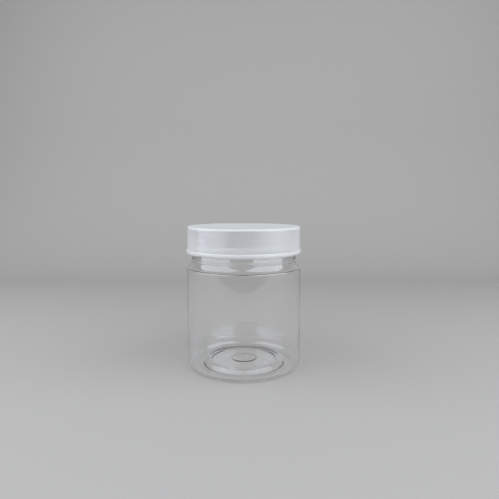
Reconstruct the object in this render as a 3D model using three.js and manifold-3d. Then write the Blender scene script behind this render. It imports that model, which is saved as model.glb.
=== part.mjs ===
// A clear wide-mouth jar with a screw lid: the blown jar, the moulded lid, and the liner that seals its rim.
// Millimetres, +Z up. The origin is the centre of the ring that the jar stands on.
import * as THREE from 'three';
import { mergeVertices } from 'three/addons/utils/BufferGeometryUtils.js';
import Module from 'manifold-3d';

const wasm = await Module();
wasm.setup();

// ---- Driving dimensions ----
const FACETS = 60; // round a full turn
const BEND_STEPS = 4; // along each bend, bead and long wave of an outline
const ROUND_STEPS = 2; // along each small round or step
const WELD = 1e-4; // points nearer than this are one

// Jar, overall
const JAR_HEIGHT = 83.2; // standing ring to rim
const BODY_RADIUS = 34.7;
const BODY_WALL = 0.8;

// Jar, base: a standing ring, a steep-sided ridge inside it, and a shallow dish with a raised centre
const HEEL_RADIUS = 4.4;
const STANDING_WIDTH = 1.5;
const FOOT_RUN = 4.6; // from the standing ring in to the foot of the ridge
const FOOT_RISE = 0.4;
const FOOT_WALL = 1.0;
const RIDGE_RUN = 4.2; // from the foot in to the top of the ridge
const RIDGE_HEIGHT = 2.8;
const RIDGE_WALL = 1.7;
const RIDGE_OVERHANG = 1.4; // how much further out the top of the ridge lies on the inside
const FOOT_OVERHANG = 1.0; // and how much further out its foot lies there
const DISH_DEPTH = 0.6;
const DISH_RUN = 4.0; // from the top of the ridge in to the dish's floor
const DISH_WALL = 1.1;
const CENTRE_RADIUS = 7.0;
const CENTRE_RUN = 1.5; // from the raised centre out to the dish's floor
const CENTRE_STEP = 0.4;
const GATE_RADIUS = 2.6; // low round boss left by the gate, on the inside
const GATE_HEIGHT = 0.5;
const MARK_BEARING = 6.7; // plain ring moulded under the dish, degrees from +X
const MARK_DISTANCE = 13.2; // from the axis
const MARK_RADIUS = 2.4;
const MARK_WIDTH = 0.7;
const MARK_HEIGHT = 0.35;
const MARK_ROOT = 0.75; // how far up into the base wall it is rooted, as a share of the wall
const MARK_FACETS = 24;

// Jar, neck and shoulder, measured down from the rim
const NECK_RADIUS = 31.5;
const NECK_WALL = 1.8;
const NECK_LENGTH = 18.0; // rim to the top of the shoulder
const NECK_BEND = 4.3; // outer bend where neck meets shoulder
const BODY_BEND = 1.2; // outer bend where shoulder meets body
const BORE_EASE_RUN = 5.8; // height over which the bore widens, from the neck's wall to the body's
const BORE_EASE_LIFT = 0.9; // shoulder's top up to where the bore has widened
const BEAD_HEIGHT = 1.7; // low bead round the foot of the neck
const BEAD_RISE = 0.3;
const RIM_ROUND = 0.4;

// Screw thread, one start, right hand
const PITCH = 4.23;
const THREAD_DEPTH = 1.0;
const THREAD_BASE = 2.3; // width at the wall
const THREAD_CREST = 0.8; // width at the crest
const THREAD_SHOULDER = 0.7; // share of the depth at which the flank rounds over to the crest
const THREAD_START = 0.2; // share of the full size at each end
const THREAD_SINK = 0.35; // how far a ridge is rooted in its wall
const THREAD_FADE = 24; // degrees over which each end rises to full depth
const JAR_THREAD_TURNS = 2;
const JAR_THREAD_END = -60; // bearing of the upper end, degrees from +X
const JAR_THREAD_DROP = 1.7; // rim to the ridge's centre at its upper end
const LID_THREAD_TURNS = 1.25;
const LID_THREAD_LEAD = 3.6; // lid's edge to the ridge's centre at its lower end

// Lid and liner
const LID_HEIGHT = 15.8;
const LID_WALL = 1.15;
const LID_TOP = 1.2;
const LID_CORNER = 0.8;
const LID_BEAD_HEIGHT = 2.2;
const LID_BEAD_RISE = 0.62;
const LID_BEAD_ROUND = 0.5;
const LID_LEAD_IN = 0.4; // chamfer inside the open edge
const RETAINER_HEIGHT = 0.6; // bead in the skirt that the liner snaps in behind
const RETAINER_RISE = 0.4;
const LINER_THICKNESS = 1.1;
const LINER_EDGE = 0.2;

// Clearances
const THREAD_CLEARANCE = 0.35; // crest of each thread to the other piece's wall
const LINER_CLEARANCE = 0.25; // liner's edge to the lid's skirt
const SEAT_GAP = 0.05; // each flat face of the liner to what it lies against

// ---- Sizes that follow from them ----
const standingOuter = BODY_RADIUS - HEEL_RADIUS;
const standingInner = standingOuter - STANDING_WIDTH;
const footRadius = standingInner - FOOT_RUN;
const ridgeRadius = footRadius - RIDGE_RUN;
const dishOuter = ridgeRadius - DISH_RUN;
const dishInner = CENTRE_RADIUS + CENTRE_RUN;
const dishHeight = RIDGE_HEIGHT - DISH_DEPTH;
const centreHeight = dishHeight + CENTRE_STEP;
const shoulderTop = JAR_HEIGHT - NECK_LENGTH;
const jarCrest = NECK_RADIUS + THREAD_DEPTH;
const linerBottom = JAR_HEIGHT + SEAT_GAP;
const lidCeiling = linerBottom + LINER_THICKNESS + SEAT_GAP;
const lidSummit = lidCeiling + LID_TOP;
const lidEdge = lidSummit - LID_HEIGHT;
const lidBore = jarCrest + THREAD_CLEARANCE;
const lidCrest = NECK_RADIUS + THREAD_CLEARANCE;
const lidRadius = lidBore + LID_WALL;

// ---- Outline helpers: each returns [radius, height] points ----
const steps = (count) => Array.from({ length: count + 1 }, (_, i) => i / count);
const radians = THREE.MathUtils.degToRad;

// A circular arc about a centre, from one bearing to another in degrees.
function arc([x, y], radius, from, to, count) {
  return steps(count).map((t) => {
    const angle = radians(from + (to - from) * t);
    return [x + radius * Math.cos(angle), y + radius * Math.sin(angle)];
  });
}

// A wave that leaves one point level and arrives at the other level.
function wave([x0, y0], [x1, y1], count) {
  return steps(count).map((t) => [x0 + (x1 - x0) * t, y0 + ((y1 - y0) * (1 - Math.cos(Math.PI * t))) / 2]);
}

// A wall that eases from one radius to another as it goes from one height to the other.
function ease([x0, y0], [x1, y1], count) {
  return wave([y0, x0], [y1, x1], count).map(([height, radius]) => [radius, height]);
}

// The shoulder, from the neck down to the body: two opposite bends, with a level shelf if they don't fill it.
function shoulder(neckRadius, bodyRadius, top, neckBend, bodyBend) {
  const width = Math.abs(bodyRadius - neckRadius);
  const side = Math.sign(bodyRadius - neckRadius);
  const turn = Math.acos(Math.max(0, 1 - width / (neckBend + bodyBend)));
  const bottom = top - (neckBend + bodyBend) * Math.sin(turn);
  const upper = steps(BEND_STEPS).map((t) => [
    neckRadius + side * neckBend * (1 - Math.cos(turn * t)),
    top - neckBend * Math.sin(turn * t),
  ]);
  const lower = steps(BEND_STEPS).map((t) => [
    bodyRadius - side * bodyBend * (1 - Math.cos(turn * (1 - t))),
    bottom + bodyBend * Math.sin(turn * (1 - t)),
  ]);
  return [...upper, ...lower.slice(1)];
}

// A low half-wave bump on a wall, from its foot upwards.
function bump(radius, foot, height, rise, count) {
  return steps(count).map((t) => [radius + rise * Math.sin(Math.PI * t), foot + height * t]);
}

// ---- Solids ----
function toSolid(geometry) {
  const bare = geometry.clone();
  bare.deleteAttribute('normal');
  bare.deleteAttribute('uv');
  const merged = mergeVertices(bare, WELD);
  const index = merged.index.array;
  const triangles = [];
  for (let i = 0; i < index.length; i += 3) {
    const [a, b, c] = index.slice(i, i + 3);
    if (a !== b && b !== c && c !== a) triangles.push(a, b, c);
  }
  return new wasm.Manifold(
    new wasm.Mesh({
      numProp: 3,
      vertProperties: new Float32Array(merged.attributes.position.array),
      triVerts: new Uint32Array(triangles),
    }),
  );
}

function toGeometry(solid) {
  const mesh = solid.getMesh();
  const geometry = new THREE.BufferGeometry();
  geometry.setAttribute('position', new THREE.Float32BufferAttribute(mesh.vertProperties, 3));
  geometry.setIndex(new THREE.Uint32BufferAttribute(mesh.triVerts, 1));
  return geometry;
}

// Turns an outline that starts and ends on the axis; its outer side runs upwards.
function revolve(outline, facets = FACETS) {
  const points = outline.map(([radius, height]) => new THREE.Vector2(radius, height));
  return toSolid(new THREE.LatheGeometry(points, facets).rotateX(Math.PI / 2));
}

// A screw ridge: a rounded trapezium carried up a helix, with both ends fading into the wall.
// wall and crest are radii; the crest lies outside the wall on the jar and inside it in the lid.
function threadRidge({ wall, crest, startAngle, startHeight, turns }) {
  const side = Math.sign(crest - wall);
  const depth = Math.abs(crest - wall);
  const foot = THREAD_BASE / 2;
  const top = THREAD_CREST / 2;
  const section = [
    [-THREAD_SINK, -foot],
    [THREAD_SHOULDER * depth, -(foot + top) / 2],
    [depth, -top],
    [depth, top],
    [THREAD_SHOULDER * depth, (foot + top) / 2],
    [-THREAD_SINK, foot],
  ];
  const count = Math.round(turns * FACETS);
  const sweep = turns * 360;
  const positions = [];
  const faces = [];
  for (let i = 0; i <= count; i++) {
    const travelled = (sweep * i) / count;
    const end = Math.min(1, travelled / THREAD_FADE, (sweep - travelled) / THREAD_FADE);
    const swell = THREAD_START + (1 - THREAD_START) * Math.sin((end * Math.PI) / 2);
    const angle = radians(startAngle + travelled);
    const height = startHeight + (PITCH * travelled) / 360;
    for (const [out, up] of section) {
      const radius = wall + side * (out > 0 ? out * swell : out);
      positions.push(radius * Math.cos(angle), radius * Math.sin(angle), height + up * swell);
    }
  }
  const n = section.length;
  const quad = (a, b, c, d) => faces.push(a, b, c, a, c, d);
  for (let i = 0; i < count; i++) {
    for (let k = 0; k < n; k++) {
      const next = (k + 1) % n;
      quad(i * n + k, i * n + next, (i + 1) * n + next, (i + 1) * n + k);
    }
  }
  for (let k = 1; k < n - 1; k++) {
    faces.push(0, k + 1, k);
    faces.push(count * n, count * n + k, count * n + k + 1);
  }
  if (side > 0) faces.reverse();
  const geometry = new THREE.BufferGeometry();
  geometry.setAttribute('position', new THREE.Float32BufferAttribute(positions, 3));
  geometry.setIndex(faces);
  return toSolid(geometry);
}

// ---- The jar ----
function jarOutline() {
  const bodyBore = BODY_RADIUS - BODY_WALL;
  const neckBore = NECK_RADIUS - NECK_WALL;
  const shoulderBore = NECK_RADIUS - BODY_WALL;
  const bendShift = Math.sign(BODY_RADIUS - NECK_RADIUS) * BODY_WALL; // keeps the shoulder's walls parallel
  const easeBottom = shoulderTop + BORE_EASE_LIFT;
  const innerFoot = [footRadius + FOOT_OVERHANG, FOOT_RISE + FOOT_WALL];
  const innerRidge = [ridgeRadius + RIDGE_OVERHANG, RIDGE_HEIGHT + RIDGE_WALL];
  return [
    [0, centreHeight],
    ...wave([CENTRE_RADIUS, centreHeight], [dishInner, dishHeight], ROUND_STEPS),
    ...wave([dishOuter, dishHeight], [ridgeRadius, RIDGE_HEIGHT], BEND_STEPS),
    ...wave([ridgeRadius, RIDGE_HEIGHT], [footRadius, FOOT_RISE], BEND_STEPS).slice(1),
    [standingInner, 0],
    ...arc([standingOuter, HEEL_RADIUS], HEEL_RADIUS, -90, 0, BEND_STEPS),
    ...shoulder(NECK_RADIUS, BODY_RADIUS, shoulderTop, NECK_BEND, BODY_BEND).reverse(),
    ...bump(NECK_RADIUS, shoulderTop, BEAD_HEIGHT, BEAD_RISE, BEND_STEPS).slice(1),
    ...arc([NECK_RADIUS - RIM_ROUND, JAR_HEIGHT - RIM_ROUND], RIM_ROUND, 0, 90, ROUND_STEPS),
    ...arc([neckBore + RIM_ROUND, JAR_HEIGHT - RIM_ROUND], RIM_ROUND, 90, 180, ROUND_STEPS),
    ...ease([neckBore, easeBottom + BORE_EASE_RUN], [shoulderBore, easeBottom], BEND_STEPS),
    ...shoulder(shoulderBore, bodyBore, shoulderTop, NECK_BEND + bendShift, BODY_BEND - bendShift),
    ...arc([standingOuter, HEEL_RADIUS], HEEL_RADIUS - BODY_WALL, 0, -90, BEND_STEPS),
    [standingInner, BODY_WALL],
    ...wave(innerFoot, innerRidge, BEND_STEPS),
    ...wave(innerRidge, [dishOuter, dishHeight + DISH_WALL], BEND_STEPS).slice(1),
    ...wave([dishInner, dishHeight + DISH_WALL], [CENTRE_RADIUS, centreHeight + DISH_WALL], ROUND_STEPS),
    [GATE_RADIUS, centreHeight + DISH_WALL],
    [GATE_RADIUS - GATE_HEIGHT, centreHeight + DISH_WALL + GATE_HEIGHT],
    [0, centreHeight + DISH_WALL + GATE_HEIGHT],
  ];
}

// A plain ring that stands down from the floor of the dish under the base.
function baseMark() {
  const inner = MARK_RADIUS - MARK_WIDTH / 2;
  const outer = MARK_RADIUS + MARK_WIDTH / 2;
  const low = dishHeight - MARK_HEIGHT;
  const root = dishHeight + MARK_ROOT * DISH_WALL;
  const outline = [[inner, root], [inner, low], [outer, low], [outer, root], [inner, root]];
  const place = new THREE.Vector3(MARK_DISTANCE, 0, 0);
  place.applyAxisAngle(new THREE.Vector3(0, 0, 1), radians(MARK_BEARING));
  return revolve(outline, MARK_FACETS).translate(place.toArray());
}

function jar() {
  const turned = JAR_THREAD_TURNS * 360;
  const thread = threadRidge({
    wall: NECK_RADIUS,
    crest: jarCrest,
    startAngle: JAR_THREAD_END - turned,
    startHeight: JAR_HEIGHT - JAR_THREAD_DROP - JAR_THREAD_TURNS * PITCH,
    turns: JAR_THREAD_TURNS,
  });
  return revolve(jarOutline()).add(thread).add(baseMark());
}

// ---- The lid ----
function lidOutline() {
  const beadRadius = lidRadius + LID_BEAD_RISE;
  const beadTop = lidEdge + LID_BEAD_HEIGHT;
  const retainerTop = linerBottom - SEAT_GAP;
  return [
    [0, lidCeiling],
    [lidBore, lidCeiling],
    [lidBore, retainerTop],
    [lidBore - RETAINER_RISE, retainerTop - RETAINER_HEIGHT / 2],
    [lidBore, retainerTop - RETAINER_HEIGHT],
    [lidBore, lidEdge + LID_LEAD_IN],
    [lidBore + LID_LEAD_IN, lidEdge],
    ...arc([beadRadius - LID_BEAD_ROUND, lidEdge + LID_BEAD_ROUND], LID_BEAD_ROUND, -90, 0, ROUND_STEPS),
    ...arc([beadRadius - LID_BEAD_ROUND, beadTop - LID_BEAD_ROUND], LID_BEAD_ROUND, 0, 90, ROUND_STEPS),
    [lidRadius, beadTop],
    ...arc([lidRadius - LID_CORNER, lidSummit - LID_CORNER], LID_CORNER, 0, 90, BEND_STEPS),
    [0, lidSummit],
  ];
}

// The lid's ridge lies half a pitch under the jar's, so its bearing follows from the height it starts at.
function lid() {
  const startHeight = lidEdge + LID_THREAD_LEAD;
  const jarEndHeight = JAR_HEIGHT - JAR_THREAD_DROP;
  const turnsBelow = (jarEndHeight - PITCH / 2 - startHeight) / PITCH;
  const thread = threadRidge({
    wall: lidBore,
    crest: lidCrest,
    startAngle: JAR_THREAD_END - turnsBelow * 360,
    startHeight,
    turns: LID_THREAD_TURNS,
  });
  return revolve(lidOutline()).add(thread);
}

// ---- The liner ----
function liner() {
  const radius = lidBore - LINER_CLEARANCE;
  const top = linerBottom + LINER_THICKNESS;
  return revolve([
    [0, linerBottom],
    [radius - LINER_EDGE, linerBottom],
    [radius, linerBottom + LINER_EDGE],
    [radius, top - LINER_EDGE],
    [radius - LINER_EDGE, top],
    [0, top],
  ]);
}

// ---- Materials and scene graph ----
const clearBody = new THREE.MeshStandardMaterial({
  color: '#dfe5ea',
  roughness: 0.06,
  metalness: 0,
  transparent: true,
  opacity: 0.3,
});
const milkyLid = new THREE.MeshStandardMaterial({ color: '#dde2ec', roughness: 0.35, metalness: 0 });
const whiteLiner = new THREE.MeshStandardMaterial({ color: '#eef0f2', roughness: 0.6, metalness: 0 });

function piece(name, solid, material) {
  const mesh = new THREE.Mesh(toGeometry(solid), material);
  mesh.name = name;
  return mesh;
}

const screwJar = new THREE.Group();
screwJar.add(piece('jar', jar(), clearBody));
screwJar.add(piece('lid', lid(), milkyLid));
screwJar.add(piece('liner', liner(), whiteLiner));

export default screwJar;
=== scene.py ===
"""A clear wide-mouth jar with a milky screw lid and a soft liner, standing in a small studio.

Laid out as a Blender add-on and run as a script. Each piece replaces its plain CAD solid with a fine mesh
of the same outline, so every size of a piece is one that the CAD model has too. Lengths are in metres,
+Z up.
"""
import math

import bpy
from bpy.props import FloatProperty, FloatVectorProperty, PointerProperty
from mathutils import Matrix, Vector


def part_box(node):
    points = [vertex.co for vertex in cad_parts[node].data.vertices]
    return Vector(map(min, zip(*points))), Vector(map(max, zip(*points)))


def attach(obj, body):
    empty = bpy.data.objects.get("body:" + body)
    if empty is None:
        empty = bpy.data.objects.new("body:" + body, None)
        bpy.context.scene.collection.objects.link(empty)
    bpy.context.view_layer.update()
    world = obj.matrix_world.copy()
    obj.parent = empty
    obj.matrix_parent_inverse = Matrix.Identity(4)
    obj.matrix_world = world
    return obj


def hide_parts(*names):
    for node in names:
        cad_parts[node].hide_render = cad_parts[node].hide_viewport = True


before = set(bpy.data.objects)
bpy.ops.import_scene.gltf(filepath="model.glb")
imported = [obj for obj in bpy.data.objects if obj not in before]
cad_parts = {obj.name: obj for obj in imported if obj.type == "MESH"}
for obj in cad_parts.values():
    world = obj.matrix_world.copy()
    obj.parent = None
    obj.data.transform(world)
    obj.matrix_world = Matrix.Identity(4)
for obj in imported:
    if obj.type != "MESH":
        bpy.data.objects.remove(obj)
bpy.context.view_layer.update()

bl_info = {
    "name": "Screw Lid Jar",
    "version": (1, 0, 0),
    "blender": (4, 5, 0),
    "location": "View3D > Sidebar > Screw Jar",
    "description": "Models a clear wide-mouth jar, its milky screw lid and its liner, and lights them",
    "category": "Add Mesh",
}

_, JAR_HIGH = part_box("jar")
LID_LOW, LID_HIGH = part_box("lid")
LINER_LOW, LINER_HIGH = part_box("liner")

MM = 0.001
SEGMENTS = 240  # round a full turn
CURVE_STEPS = 16  # along each bend, wave and bead of an outline
ROUND_STEPS = 6  # along each small round
MARK_SEGMENTS = 48  # round the moulded mark
THREAD_STEPS = 72  # along each turn of a thread
WELD = 1e-6  # metres, points nearer than this are one
CREASE = math.radians(38)  # faces that meet more sharply keep their edge
NEAREST_VIEW = 10 * MM  # from the camera to the nearest thing that it shows
CLOUDING = 0.99  # share of its colour that the lid keeps where the plastic is cloudiest
MIX_A, MIX_B, MIX_RESULT = 6, 7, 2  # places of the colour sockets on a Mix node
SHADER_A, SHADER_B = 1, 2  # places of the shader sockets on a Mix Shader node


# ---- Sizes and colours that a user would change ----


def length(name, description, millimetres):
    """A length property, with its default in millimetres."""
    return FloatProperty(
        name=name, description=description, default=millimetres * MM, precision=5, unit="LENGTH"
    )


def angle(name, description, degrees):
    """An angle property, with its default in degrees."""
    return FloatProperty(name=name, description=description, default=math.radians(degrees), unit="ROTATION")


def number(name, description, value):
    """A plain number property."""
    return FloatProperty(name=name, description=description, default=value)


def linear(hex_colour):
    """An sRGB hex colour, such as #d0d4dc, as linear red, green and blue."""
    channels = [int(hex_colour[i : i + 2], 16) / 255 for i in (1, 3, 5)]
    return tuple(c / 12.92 if c <= 0.04045 else ((c + 0.055) / 1.055) ** 2.4 for c in channels)


def colour(name, description, hex_colour):
    """A colour property, with its default as sRGB hex."""
    return FloatVectorProperty(
        name=name, description=description, default=linear(hex_colour), min=0, max=1, subtype="COLOR"
    )


class JarSizes(bpy.types.PropertyGroup):
    """The blown jar, from its base up to its rim."""

    radius: length("Body radius", "Outside of the straight wall", JAR_HIGH.x / MM)
    height: length("Height", "Standing ring to rim", JAR_HIGH.z / MM)
    wall: length("Body wall", "Thickness of the blown wall", 0.8)
    heel: length("Heel radius", "Round between the wall and the standing ring", 4.4)
    standing: length("Standing ring", "Width of the flat ring that the jar stands on", 1.5)
    foot_run: length("Foot run", "From the standing ring in to the foot of the ridge", 4.6)
    foot_rise: length("Foot rise", "Height of that foot", 0.4)
    foot_wall: length("Foot wall", "Thickness of the base at that foot", 1.0)
    foot_overhang: length("Foot overhang", "How much further out the foot lies inside", 1.0)
    ridge_run: length("Ridge run", "From the foot in to the top of the ridge", 4.2)
    ridge_height: length("Ridge height", "Height of the ridge on the underside", 2.8)
    ridge_wall: length("Ridge wall", "Thickness of the base at the ridge", 1.7)
    ridge_overhang: length("Ridge overhang", "How much further out the ridge lies inside", 1.4)
    dish_depth: length("Dish depth", "From the ridge down to the dish within it", 0.6)
    dish_run: length("Dish run", "From the top of the ridge in to the dish's floor", 4.0)
    dish_wall: length("Dish wall", "Thickness of the base in the dish", 1.1)
    centre: length("Centre radius", "Raised centre of the dish", 7.0)
    centre_run: length("Centre run", "From the raised centre out to the dish's floor", 1.5)
    centre_step: length("Centre step", "Height of the raised centre over the dish's floor", 0.4)
    gate: length("Gate radius", "Low round boss left inside by the gate", 2.6)
    gate_height: length("Gate height", "Height of that boss", 0.5)
    neck: length("Neck radius", "Outside of the neck, under the thread", 31.5)
    neck_wall: length("Neck wall", "Thickness of the neck", 1.8)
    neck_length: length("Neck length", "Rim to the top of the shoulder", 18.0)
    neck_bend: length("Neck bend", "Outer bend where the neck meets the shoulder", 4.3)
    body_bend: length("Body bend", "Outer bend where the shoulder meets the body", 1.2)
    ease_run: length("Bore ease", "Height over which the bore widens above the shoulder", 5.8)
    ease_lift: length("Bore ease lift", "Shoulder's top up to where the bore has widened", 0.9)
    bead_height: length("Bead height", "Low bead round the foot of the neck", 1.7)
    bead_rise: length("Bead rise", "How far that bead stands out", 0.3)
    rim_round: length("Rim round", "Round on both edges of the rim", 0.4)


class MarkSizes(bpy.types.PropertyGroup):
    """The plain ring moulded under the dish."""

    bearing: angle("Bearing", "Place round the base, from +X", 6.7)
    distance: length("Distance", "Jar's axis to the ring's centre", 13.2)
    radius: length("Radius", "Middle of the ring's width", 2.4)
    width: length("Width", "Width of the ring", 0.7)
    height: length("Height", "How far the ring stands down", 0.35)


class ThreadSizes(bpy.types.PropertyGroup):
    """The right-hand screw thread of jar and lid, one start."""

    pitch: length("Pitch", "Rise in one turn", 4.23)
    depth: length("Depth", "Neck to crest", 1.0)
    base: length("Base width", "Width of the ridge at its wall", 2.3)
    crest: length("Crest width", "Width of the ridge at its crest", 0.8)
    shoulder: number("Shoulder", "Share of the depth at which the flank rounds over", 0.7)
    sink: length("Sink", "How far a ridge is rooted in its wall", 0.35)
    start: number("Start", "Share of the full size at each end", 0.2)
    fade: angle("Fade", "Turn over which each end rises to full depth", 24)
    jar_turns: number("Turns on the jar", "Length of the jar's ridge", 2)
    jar_end: angle("Upper end", "Bearing of the jar ridge's upper end, from +X", -60)
    jar_drop: length("Drop", "Rim to the ridge's centre at its upper end", 1.7)
    lid_turns: number("Turns in the lid", "Length of the lid's ridge", 1.25)
    lid_lead: length("Lead", "Lid's edge to the ridge's centre at its lower end", 3.6)
    clearance: length("Clearance", "Each crest to the other piece's wall", 0.35)


class LidSizes(bpy.types.PropertyGroup):
    """The moulded lid."""

    edge: length("Edge height", "Height of the open edge", LID_LOW.z / MM)
    summit: length("Top height", "Height of the flat top", LID_HIGH.z / MM)
    wall: length("Skirt wall", "Thickness of the skirt", 1.15)
    top: length("Top wall", "Thickness of the flat top", 1.2)
    corner: length("Corner", "Round between top and skirt", 0.8)
    bead_height: length("Bead height", "Bead round the open edge", 2.2)
    bead_rise: length("Bead rise", "How far that bead stands out", 0.62)
    bead_round: length("Bead round", "Round on the bead's edges", 0.5)
    lead_in: length("Lead-in", "Chamfer inside the open edge", 0.4)
    retainer_height: length("Retainer height", "Bead that the liner snaps in behind", 0.6)
    retainer_rise: length("Retainer rise", "How far that bead stands in", 0.4)


class LinerSizes(bpy.types.PropertyGroup):
    """The sealing liner."""

    radius: length("Radius", "Edge of the liner", LINER_HIGH.x / MM)
    bottom: length("Underside", "Height of the side that seals the rim", LINER_LOW.z / MM)
    top: length("Top", "Height of the side that lies in the lid", LINER_HIGH.z / MM)
    edge: length("Edge", "Chamfer round both faces", 0.2)


class Finishes(bpy.types.PropertyGroup):
    """Colours of the materials."""

    pet: colour("Clear PET", "Tint of the blown jar", "#fefefe")
    polypropylene: colour("Milky polypropylene", "Body colour of the lid", "#ffffff")
    polyethylene: colour("Soft polyethylene", "Body colour of the liner", "#eef0f2")
    paper: colour("Grey paper", "Floor and backdrop", "#b2aea9")
    light: colour("Daylight", "Both soft lights", "#eef5ff")


class StudioSizes(bpy.types.PropertyGroup):
    """The floor, the lights and the camera."""

    floor_width: length("Floor width", "Across the floor and backdrop", 2600)
    floor_front: length("Floor front", "Jar's axis to the front edge of the floor", 310)
    floor_back: length("Floor back", "Jar's axis to where the backdrop starts to rise", 294)
    sweep: length("Sweep", "Bend between floor and backdrop", 223)
    wall_height: length("Backdrop height", "Height of the backdrop", 1300)
    camera_place: FloatVectorProperty(
        name="Camera", description="Place of the camera", default=(0.0035, -0.2865, 0.1019), unit="LENGTH"
    )
    camera_tilt: angle("Tilt", "How far the camera looks down", 6.11)
    camera_lens: number("Lens", "Focal length on a 36 mm sensor, in millimetres", 34.09)
    light_rise: angle("Light elevation", "Height of both lights over the horizon", 36)
    left_bearing: angle("Left light", "Bearing of the left light from the camera's side", -66)
    left_distance: length("Left distance", "Jar to the left light", 548)
    left_side: length("Left side", "Width and height of the left light", 790)
    left_power: number("Left power", "Watts of the left light", 3.95)
    right_bearing: angle("Right light", "Bearing of the right light from the camera's side", 57)
    right_distance: length("Right distance", "Jar to the right light", 638)
    right_side: length("Right side", "Width and height of the right light", 880)
    right_power: number("Right power", "Watts of the right light", 5.8)
    room: number("Room light", "Strength of the light from the room", 0.18)


class ScrewJarSettings(bpy.types.PropertyGroup):
    """Everything that can be set on the jar and its studio."""

    jar: PointerProperty(type=JarSizes)
    mark: PointerProperty(type=MarkSizes)
    thread: PointerProperty(type=ThreadSizes)
    lid: PointerProperty(type=LidSizes)
    liner: PointerProperty(type=LinerSizes)
    finishes: PointerProperty(type=Finishes)
    studio: PointerProperty(type=StudioSizes)


# ---- Outlines: lists of (radius, height) points ----


def shares(count):
    """Even shares from 0 to 1, both ends included."""
    return [i / count for i in range(count + 1)]


def arc(centre, radius, start, end, steps=CURVE_STEPS):
    """A circular arc about a centre, between two bearings in degrees."""
    turns = [math.radians(start + (end - start) * t) for t in shares(steps)]
    return [(centre[0] + radius * math.cos(a), centre[1] + radius * math.sin(a)) for a in turns]


def wave(start, end):
    """A wave that leaves one point level and arrives at the other level."""
    (r0, z0), (r1, z1) = start, end
    return [
        (r0 + (r1 - r0) * t, z0 + (z1 - z0) * (1 - math.cos(math.pi * t)) / 2)
        for t in shares(CURVE_STEPS)
    ]


def ease(start, end):
    """A wall that eases from one radius to another as it goes from one height to the other."""
    return [(radius, height) for height, radius in wave(start[::-1], end[::-1])]


def bump(radius, foot, height, rise):
    """A low half-wave bead on a wall, from its foot upwards."""
    return [(radius + rise * math.sin(math.pi * t), foot + height * t) for t in shares(CURVE_STEPS)]


def shoulder(neck, body, top, neck_bend, body_bend):
    """Two opposite bends that lead from the neck down to the body."""
    turn = math.acos(1 - (body - neck) / (neck_bend + body_bend))
    bottom = top - (neck_bend + body_bend) * math.sin(turn)
    upper = [
        (neck + neck_bend * (1 - math.cos(turn * t)), top - neck_bend * math.sin(turn * t))
        for t in shares(CURVE_STEPS)
    ]
    lower = [
        (body - body_bend * (1 - math.cos(turn * (1 - t))), bottom + body_bend * math.sin(turn * (1 - t)))
        for t in shares(CURVE_STEPS)
    ]
    return upper + lower[1:]


def base_heights(jar):
    """Heights of the base's underside: the floor of its dish and its raised centre."""
    dish = jar.ridge_height - jar.dish_depth
    return dish, dish + jar.centre_step


def base_radii(jar):
    """Radii of the base's underside: the standing ring's two sides, the ridge's foot and top, the dish."""
    standing_outer = jar.radius - jar.heel
    standing_inner = standing_outer - jar.standing
    foot = standing_inner - jar.foot_run
    ridge = foot - jar.ridge_run
    return standing_outer, standing_inner, foot, ridge, ridge - jar.dish_run


def jar_outside(jar):
    """The jar's section from the middle of its underside up to its rim."""
    dish_height, centre_height = base_heights(jar)
    standing_outer, standing_inner, foot, ridge, dish = base_radii(jar)
    shoulder_top = jar.height - jar.neck_length
    return [
        (0, centre_height),
        *wave((jar.centre, centre_height), (jar.centre + jar.centre_run, dish_height)),
        *wave((dish, dish_height), (ridge, jar.ridge_height)),
        *wave((ridge, jar.ridge_height), (foot, jar.foot_rise))[1:],
        (standing_inner, 0),
        *arc((standing_outer, jar.heel), jar.heel, -90, 0),
        *shoulder(jar.neck, jar.radius, shoulder_top, jar.neck_bend, jar.body_bend)[::-1],
        *bump(jar.neck, shoulder_top, jar.bead_height, jar.bead_rise)[1:],
        *arc((jar.neck - jar.rim_round, jar.height - jar.rim_round), jar.rim_round, 0, 90, ROUND_STEPS),
    ]


def jar_inside(jar):
    """The jar's section from its rim down to the middle of the base inside."""
    dish_height, centre_height = [height + jar.dish_wall for height in base_heights(jar)]
    standing_outer, standing_inner, foot, ridge, dish = base_radii(jar)
    bore = jar.neck - jar.neck_wall
    shoulder_top = jar.height - jar.neck_length
    shoulder_bore = jar.neck - jar.wall
    ease_bottom = shoulder_top + jar.ease_lift
    inner_foot = (foot + jar.foot_overhang, jar.foot_rise + jar.foot_wall)
    inner_ridge = (ridge + jar.ridge_overhang, jar.ridge_height + jar.ridge_wall)
    bends = (jar.neck_bend + jar.wall, jar.body_bend - jar.wall)  # which keep the wall even round both
    return [
        *arc((bore + jar.rim_round, jar.height - jar.rim_round), jar.rim_round, 90, 180, ROUND_STEPS),
        *ease((bore, ease_bottom + jar.ease_run), (shoulder_bore, ease_bottom)),
        *shoulder(shoulder_bore, jar.radius - jar.wall, shoulder_top, *bends),
        *arc((standing_outer, jar.heel), jar.heel - jar.wall, 0, -90),
        (standing_inner, jar.wall),
        *wave(inner_foot, inner_ridge),
        *wave(inner_ridge, (dish, dish_height))[1:],
        *wave((jar.centre + jar.centre_run, dish_height), (jar.centre, centre_height)),
        (jar.gate, centre_height),
        (jar.gate - jar.gate_height, centre_height + jar.gate_height),
        (0, centre_height + jar.gate_height),
    ]


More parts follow.
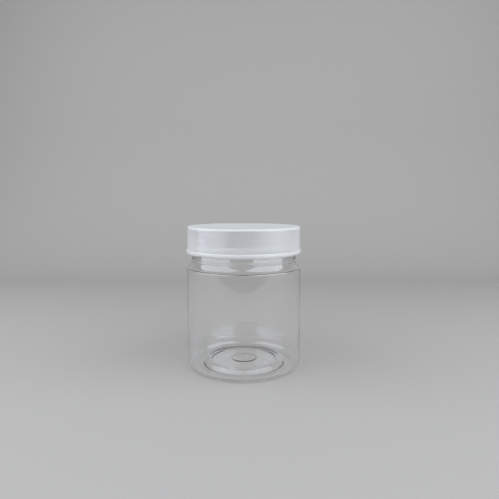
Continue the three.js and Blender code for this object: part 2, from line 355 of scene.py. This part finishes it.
def lid_outline(lid, liner, bore):
    """The whole section of the lid: out under its top, down inside the skirt and up its outside."""
    radius = bore + lid.wall
    ceiling = lid.summit - lid.top
    seat = liner.bottom - (ceiling - liner.top)
    bead = radius + lid.bead_rise - lid.bead_round
    bead_top = lid.edge + lid.bead_height
    return [
        (0, ceiling),
        (bore, ceiling),
        (bore, seat),
        (bore - lid.retainer_rise, seat - lid.retainer_height / 2),
        (bore, seat - lid.retainer_height),
        (bore, lid.edge + lid.lead_in),
        (bore + lid.lead_in, lid.edge),
        *arc((bead, lid.edge + lid.bead_round), lid.bead_round, -90, 0, ROUND_STEPS),
        *arc((bead, bead_top - lid.bead_round), lid.bead_round, 0, 90, ROUND_STEPS),
        (radius, bead_top),
        *arc((radius - lid.corner, lid.summit - lid.corner), lid.corner, 0, 90),
        (0, lid.summit),
    ]


def liner_outline(liner):
    """The section of the liner: a disc with both edges chamfered."""
    inner = liner.radius - liner.edge
    return [
        (0, liner.bottom),
        (inner, liner.bottom),
        (liner.radius, liner.bottom + liner.edge),
        (liner.radius, liner.top - liner.edge),
        (inner, liner.top),
        (0, liner.top),
    ]


# ---- Modelling steps ----


def start_piece(name, corner):
    """Opens a new mesh in edit mode, with one vertex at the first corner of its outline."""
    bpy.ops.object.select_all(action="DESELECT")
    bpy.ops.mesh.primitive_plane_add(size=MM)
    piece = bpy.context.object
    piece.name = piece.data.name = name
    bpy.ops.object.mode_set(mode="EDIT")
    bpy.ops.mesh.merge(type="CENTER")
    bpy.ops.transform.translate(value=(corner[0], 0, corner[1]))
    return piece


def trace(outline):
    """Extrudes the selected vertex from corner to corner of an outline in the XZ plane."""
    for (r0, z0), (r1, z1) in zip(outline, outline[1:]):
        bpy.ops.mesh.extrude_region_move(TRANSFORM_OT_translate={"value": (r1 - r0, 0, z1 - z0)})
    bpy.ops.mesh.select_all(action="SELECT")


def close_piece():
    """Welds doubled points, turns every face outwards and leaves edit mode."""
    bpy.ops.mesh.select_all(action="SELECT")
    bpy.ops.mesh.remove_doubles(threshold=WELD)
    bpy.ops.mesh.normals_make_consistent(inside=False)
    bpy.ops.object.mode_set(mode="OBJECT")


def turned(name, outline, centre=(0, 0, 0), steps=SEGMENTS):
    """A solid spun from an outline about an upright axis."""
    piece = start_piece(name, outline[0])
    trace(outline)
    bpy.ops.mesh.spin(steps=steps, angle=math.tau, center=centre, axis=(0, 0, 1))
    close_piece()
    return piece


def thread_section(thread, wall, side, height):
    """Corners of a thread ridge's rounded section, standing out from a wall or in from it."""
    foot = thread.base / 2
    top = thread.crest / 2
    flank = thread.depth * thread.shoulder
    middle = (foot + top) / 2
    corners = [(-thread.sink, -foot), (flank, -middle), (thread.depth, -top)]
    corners += [(out, -up) for out, up in reversed(corners)]
    return [(wall + side * out, height + up) for out, up in corners]


def swell(thread, travelled, sweep):
    """Share of its full size that a ridge has, which fades towards both ends."""
    near = min(1, travelled / thread.fade, (sweep - travelled) / thread.fade)
    return thread.start + (1 - thread.start) * math.sin(near * math.pi / 2)


def wound_ridge(name, thread, wall, side, start, height, turns):
    """A screw ridge: its section is extruded step by step up a helix, and swells and fades on the way."""
    count = round(turns * THREAD_STEPS)
    sweep = turns * math.tau
    step = sweep / count
    rise = thread.pitch / THREAD_STEPS
    section = thread_section(thread, wall, side, height)
    ridge = start_piece(name, section[0])
    trace(section)
    bpy.ops.mesh.edge_face_add()
    bpy.ops.transform.resize(value=(thread.start,) * 3, center_override=(wall, 0, height))
    bpy.ops.transform.rotate(value=-start, orient_axis="Z", center_override=(0, 0, 0))
    for i in range(1, count + 1):
        bpy.ops.mesh.extrude_region_move(TRANSFORM_OT_translate={"value": (0, 0, rise)})
        bpy.ops.transform.rotate(value=-step, orient_axis="Z", center_override=(0, 0, 0))
        growth = swell(thread, i * step, sweep) / swell(thread, (i - 1) * step, sweep)
        turn = start + i * step
        root = (wall * math.cos(turn), wall * math.sin(turn), height + i * rise)
        bpy.ops.transform.resize(value=(growth,) * 3, center_override=root)
    close_piece()
    return ridge


def fuse(piece, tool):
    """Joins a tool solid to a piece, as one skin, and removes the tool."""
    bpy.context.view_layer.objects.active = piece
    union = piece.modifiers.new("union", "BOOLEAN")
    union.operation = "UNION"
    union.solver = "EXACT"
    union.object = tool
    bpy.ops.object.modifier_apply(modifier=union.name)
    bpy.data.meshes.remove(tool.data)


def finish_piece(piece, material, body):
    """Smooths a piece, gives it its material and ties it to its CAD body and node."""
    bpy.ops.object.select_all(action="DESELECT")
    piece.select_set(True)
    bpy.context.view_layer.objects.active = piece
    bpy.ops.object.shade_smooth_by_angle(angle=CREASE)
    piece.data.materials.clear()
    piece.data.materials.append(material)
    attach(piece, body)
    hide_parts(body)


# ---- Materials ----


def add_node(tree, kind, settings=None, inputs=None):
    """Adds a node, sets its own fields, and gives each named socket a value or a link."""
    node = tree.nodes.new(kind)
    for field, value in (settings or {}).items():
        setattr(node, field, value)
    for socket, value in (inputs or {}).items():
        if isinstance(value, bpy.types.NodeSocket):
            tree.links.new(value, node.inputs[socket])
        else:
            node.inputs[socket].default_value = value
    return node


def start_material(name):
    """An empty node material, its tree and the Object coordinates that every pattern is laid out in."""
    material = bpy.data.materials.new(name)
    material.use_nodes = True
    material.node_tree.nodes.clear()
    place = add_node(material.node_tree, "ShaderNodeTexCoord").outputs["Object"]
    return material, material.node_tree, place


def opaque(rgb):
    """A colour with full alpha, as a colour socket takes it."""
    return (*rgb, 1)


def clear_pet(finishes):
    """Stretch-blown PET: clear as glass, but the blown skin is never quite even, so reflections waver. Light
    on its way to the paper passes straight through, and less of it where it meets the skin edge on, as at
    the heel, which gives the jar its faint shadow."""
    material, tree, place = start_material("blown_clear_pet")
    waver = add_node(
        tree, "ShaderNodeTexNoise", inputs={"Vector": place, "Scale": 1 / (14 * MM), "Detail": 1.5}
    )
    bump_map = add_node(
        tree,
        "ShaderNodeBump",
        inputs={"Strength": 1, "Distance": 0.03 * MM, "Height": waver.outputs["Fac"]},
    )
    haze = add_node(
        tree, "ShaderNodeTexNoise", inputs={"Vector": place, "Scale": 1 / (9 * MM), "Detail": 3}
    )
    roughness = add_node(
        tree,
        "ShaderNodeMapRange",
        inputs={
            "Value": haze.outputs["Fac"],
            "From Min": 0.3,
            "From Max": 0.75,
            "To Min": 0.015,
            "To Max": 0.06,
        },
    )
    skin = add_node(
        tree,
        "ShaderNodeBsdfPrincipled",
        inputs={
            "Base Color": opaque(finishes.pet),
            "Roughness": roughness.outputs["Result"],
            "IOR": 1.575,
            "Transmission Weight": 1,
            "Normal": bump_map.outputs["Normal"],
        },
    )
    edge_on = add_node(tree, "ShaderNodeLayerWeight", inputs={"Blend": 0.5})
    passed = add_node(
        tree,
        "ShaderNodeMapRange",
        inputs={
            "Value": edge_on.outputs["Facing"],
            "From Min": 0.6,
            "From Max": 1,
            "To Min": 0.99,
            "To Max": 0.2,
        },
    )
    straight = add_node(tree, "ShaderNodeBsdfTransparent", inputs={"Color": passed.outputs["Result"]})
    rays = add_node(tree, "ShaderNodeLightPath").outputs
    lamps_pass = add_node(
        tree,
        "ShaderNodeMixShader",
        inputs={
            "Fac": rays["Is Shadow Ray"],
            SHADER_A: skin.outputs["BSDF"],
            SHADER_B: straight.outputs["BSDF"],
        },
    )
    bounces_pass = add_node(
        tree,
        "ShaderNodeMixShader",
        inputs={
            "Fac": rays["Is Diffuse Ray"],
            SHADER_A: lamps_pass.outputs["Shader"],
            SHADER_B: straight.outputs["BSDF"],
        },
    )
    add_node(tree, "ShaderNodeOutputMaterial", inputs={"Surface": bounces_pass.outputs["Shader"]})
    return material


def milky_polypropylene(finishes):
    """Natural polypropylene, injection moulded: light is scattered forwards and wanders far inside it, so
    thin walls stay grey, while thick parts, such as the thread and the bead, glow white. Its satin skin has
    a fine haze that shows where it is seen edge on."""
    material, tree, place = start_material("natural_polypropylene_satin")
    cloud = add_node(
        tree, "ShaderNodeTexNoise", inputs={"Vector": place, "Scale": 1 / (16 * MM), "Detail": 2}
    )
    tint = add_node(
        tree,
        "ShaderNodeMix",
        {"data_type": "RGBA"},
        {
            "Factor": cloud.outputs["Fac"],
            MIX_A: opaque([c * CLOUDING for c in finishes.polypropylene]),
            MIX_B: opaque(finishes.polypropylene),
        },
    )
    grain = add_node(
        tree, "ShaderNodeTexNoise", inputs={"Vector": place, "Scale": 1 / (0.5 * MM), "Detail": 2}
    )
    bump_map = add_node(
        tree,
        "ShaderNodeBump",
        inputs={"Strength": 0.3, "Distance": 0.01 * MM, "Height": grain.outputs["Fac"]},
    )
    body = add_node(
        tree,
        "ShaderNodeBsdfPrincipled",
        inputs={
            "Base Color": tint.outputs[MIX_RESULT],
            "Roughness": 0.15,
            "IOR": 1.49,
            "Subsurface Weight": 1,
            "Subsurface Radius": (1, 1, 1),
            "Subsurface Scale": 18 * MM,
            "Subsurface Anisotropy": 0.9,
            "Sheen Weight": 0.4,
            "Sheen Roughness": 0.4,
            "Normal": bump_map.outputs["Normal"],
        },
    )
    add_node(tree, "ShaderNodeOutputMaterial", inputs={"Surface": body.outputs["BSDF"]})
    return material


def soft_polyethylene(finishes):
    """Soft white polyethylene: matte, with the fine dimples of a skived sheet."""
    material, tree, place = start_material("soft_polyethylene_matte")
    dimples = add_node(
        tree, "ShaderNodeTexNoise", inputs={"Vector": place, "Scale": 1 / (0.8 * MM), "Detail": 2}
    )
    bump_map = add_node(
        tree,
        "ShaderNodeBump",
        inputs={"Strength": 0.4, "Distance": 0.05 * MM, "Height": dimples.outputs["Fac"]},
    )
    body = add_node(
        tree,
        "ShaderNodeBsdfPrincipled",
        inputs={
            "Base Color": opaque(finishes.polyethylene),
            "Roughness": 0.6,
            "Normal": bump_map.outputs["Normal"],
        },
    )
    add_node(tree, "ShaderNodeOutputMaterial", inputs={"Surface": body.outputs["BSDF"]})
    return material


def grey_paper(finishes):
    """Seamless background paper: matte, with a faint fibre."""
    material, tree, place = start_material("seamless_grey_paper")
    fibre = add_node(
        tree, "ShaderNodeTexNoise", inputs={"Vector": place, "Scale": 1 / (4 * MM), "Detail": 3}
    )
    bump_map = add_node(
        tree,
        "ShaderNodeBump",
        inputs={"Strength": 0.1, "Distance": 0.05 * MM, "Height": fibre.outputs["Fac"]},
    )
    sheet = add_node(
        tree,
        "ShaderNodeBsdfPrincipled",
        inputs={
            "Base Color": opaque(finishes.paper),
            "Roughness": 0.8,
            "Specular IOR Level": 0.2,
            "Normal": bump_map.outputs["Normal"],
        },
    )
    add_node(tree, "ShaderNodeOutputMaterial", inputs={"Surface": sheet.outputs["BSDF"]})
    return material


# ---- Pieces ----


def moulded_mark(jar, mark):
    """The plain ring that stands down from the floor of the dish."""
    dish_height, _ = base_heights(jar)
    inner = mark.distance + mark.radius - mark.width / 2
    outer = inner + mark.width
    low = dish_height - mark.height
    root = dish_height + jar.dish_wall / 2
    ring = turned(
        "mark",
        [(inner, root), (inner, low), (outer, low), (outer, root), (inner, root)],
        centre=(mark.distance, 0, 0),
        steps=MARK_SEGMENTS,
    )
    bpy.ops.transform.rotate(value=-mark.bearing, orient_axis="Z", center_override=(0, 0, 0))
    bpy.ops.object.transform_apply()
    return ring


class SCREWJAR_OT_jar(bpy.types.Operator):
    """Model the blown jar with its thread and its base"""

    bl_idname = "screwjar.jar"
    bl_label = "Jar"

    def execute(self, context):
        settings = context.scene.screw_jar
        jar, thread = settings.jar, settings.thread
        piece = turned("clear_jar", jar_outside(jar) + jar_inside(jar))
        ridge = wound_ridge(
            "jar_thread",
            thread,
            wall=jar.neck,
            side=1,
            start=thread.jar_end - thread.jar_turns * math.tau,
            height=jar.height - thread.jar_drop - thread.jar_turns * thread.pitch,
            turns=thread.jar_turns,
        )
        fuse(piece, ridge)
        fuse(piece, moulded_mark(jar, settings.mark))
        finish_piece(piece, clear_pet(settings.finishes), "jar")
        return {"FINISHED"}


class SCREWJAR_OT_lid(bpy.types.Operator):
    """Model the moulded lid with the thread inside it"""

    bl_idname = "screwjar.lid"
    bl_label = "Lid"

    def execute(self, context):
        settings = context.scene.screw_jar
        jar, thread, lid = settings.jar, settings.thread, settings.lid
        bore = jar.neck + thread.depth + thread.clearance
        height = lid.edge + thread.lid_lead
        turns_below = (jar.height - thread.jar_drop - thread.pitch / 2 - height) / thread.pitch
        piece = turned("milky_lid", lid_outline(lid, settings.liner, bore))
        ridge = wound_ridge(
            "lid_thread",
            thread,
            wall=bore,
            side=-1,
            start=thread.jar_end - turns_below * math.tau,
            height=height,
            turns=thread.lid_turns,
        )
        fuse(piece, ridge)
        finish_piece(piece, milky_polypropylene(settings.finishes), "lid")
        return {"FINISHED"}


class SCREWJAR_OT_liner(bpy.types.Operator):
    """Model the soft liner that lies in the lid"""

    bl_idname = "screwjar.liner"
    bl_label = "Liner"

    def execute(self, context):
        settings = context.scene.screw_jar
        piece = turned("soft_liner", liner_outline(settings.liner))
        finish_piece(piece, soft_polyethylene(settings.finishes), "liner")
        return {"FINISHED"}


# ---- Studio ----


def paper_sweep(studio):
    """One sheet of paper: the floor, a bend and the backdrop."""
    half = studio.floor_width / 2
    bend = arc((studio.floor_back, studio.sweep), studio.sweep, -90, 0)
    line = [(-studio.floor_front, 0), *bend, (studio.floor_back + studio.sweep, studio.wall_height)]
    sheet = start_piece("paper_sweep", line[0])
    trace(line)
    bpy.ops.transform.rotate(value=-math.pi / 2, orient_axis="Z", center_override=(0, 0, 0))
    bpy.ops.transform.translate(value=(half, 0, 0))
    bpy.ops.mesh.extrude_region_move(TRANSFORM_OT_translate={"value": (-2 * half, 0, 0)})
    close_piece()
    bpy.ops.object.shade_smooth()
    return sheet


def aim(place, target):
    """The turn that points a light from its place at a target."""
    return (Vector(target) - Vector(place)).to_track_quat("-Z", "Y").to_euler()


def soft_light(studio, name, target, tint):
    """The left or the right soft light, a square on the camera's side of the jar."""
    bearing, distance, side, power = [
        getattr(studio, f"{name}_{field}") for field in ("bearing", "distance", "side", "power")
    ]
    flat = distance * math.cos(studio.light_rise)
    place = (flat * math.sin(bearing), -flat * math.cos(bearing), distance * math.sin(studio.light_rise))
    bpy.ops.object.light_add(type="AREA", location=place, rotation=aim(place, target))
    lamp = bpy.context.object
    lamp.name = f"{name}_light"
    lamp.data.shape = "SQUARE"
    lamp.data.size = side
    lamp.data.energy = power
    lamp.data.color = tint


def room_light(scene, studio):
    """Even white light from all round."""
    scene.world = bpy.data.worlds.new("room")
    scene.world.use_nodes = True
    background = scene.world.node_tree.nodes["Background"].inputs
    background["Color"].default_value = opaque((1, 1, 1))
    background["Strength"].default_value = studio.room


def add_camera(scene, studio):
    """The camera in front of the jar, which looks down on it a little."""
    upright = math.pi / 2 - studio.camera_tilt
    bpy.ops.object.camera_add(location=studio.camera_place, rotation=(upright, 0, 0))
    scene.camera = bpy.context.object
    scene.camera.data.lens = studio.camera_lens
    scene.camera.data.clip_start = NEAREST_VIEW


class SCREWJAR_OT_studio(bpy.types.Operator):
    """Set up the floor, the two soft lights, the room light and the camera"""

    bl_idname = "screwjar.studio"
    bl_label = "Studio"

    def execute(self, context):
        scene = context.scene
        settings = scene.screw_jar
        studio = settings.studio
        sheet = paper_sweep(studio)
        sheet.data.materials.append(grey_paper(settings.finishes))
        middle = (0, 0, settings.jar.height / 2)
        for name in ("left", "right"):
            soft_light(studio, name, middle, settings.finishes.light)
        room_light(scene, studio)
        add_camera(scene, studio)
        scene.view_settings.view_transform = "Standard"
        return {"FINISHED"}


class SCREWJAR_PT_panel(bpy.types.Panel):
    """Lists the pieces and their sizes"""

    bl_idname = "SCREWJAR_PT_panel"
    bl_label = "Screw Lid Jar"
    bl_space_type = "VIEW_3D"
    bl_region_type = "UI"
    bl_category = "Screw Jar"

    def draw(self, context):
        settings = context.scene.screw_jar
        for operator in OPERATORS:
            self.layout.operator(operator.bl_idname)
        for name in ScrewJarSettings.__annotations__:
            group = getattr(settings, name)
            box = self.layout.box()
            box.label(text=name.capitalize())
            for field in type(group).__annotations__:
                box.prop(group, field)


GROUPS = (
    JarSizes,
    MarkSizes,
    ThreadSizes,
    LidSizes,
    LinerSizes,
    Finishes,
    StudioSizes,
    ScrewJarSettings,
)
OPERATORS = (SCREWJAR_OT_studio, SCREWJAR_OT_jar, SCREWJAR_OT_liner, SCREWJAR_OT_lid)


def register():
    """Registers every class and hangs the settings on the scene."""
    for each in (*GROUPS, *OPERATORS, SCREWJAR_PT_panel):
        bpy.utils.register_class(each)
    bpy.types.Scene.screw_jar = PointerProperty(type=ScrewJarSettings)


def unregister():
    """Takes the settings and every class away again."""
    del bpy.types.Scene.screw_jar
    for each in reversed((*GROUPS, *OPERATORS, SCREWJAR_PT_panel)):
        bpy.utils.unregister_class(each)


def main():
    register()
    bpy.ops.screwjar.studio()
    bpy.ops.screwjar.jar()
    bpy.ops.screwjar.liner()
    bpy.ops.screwjar.lid()


if __name__ == "__main__":
    main()
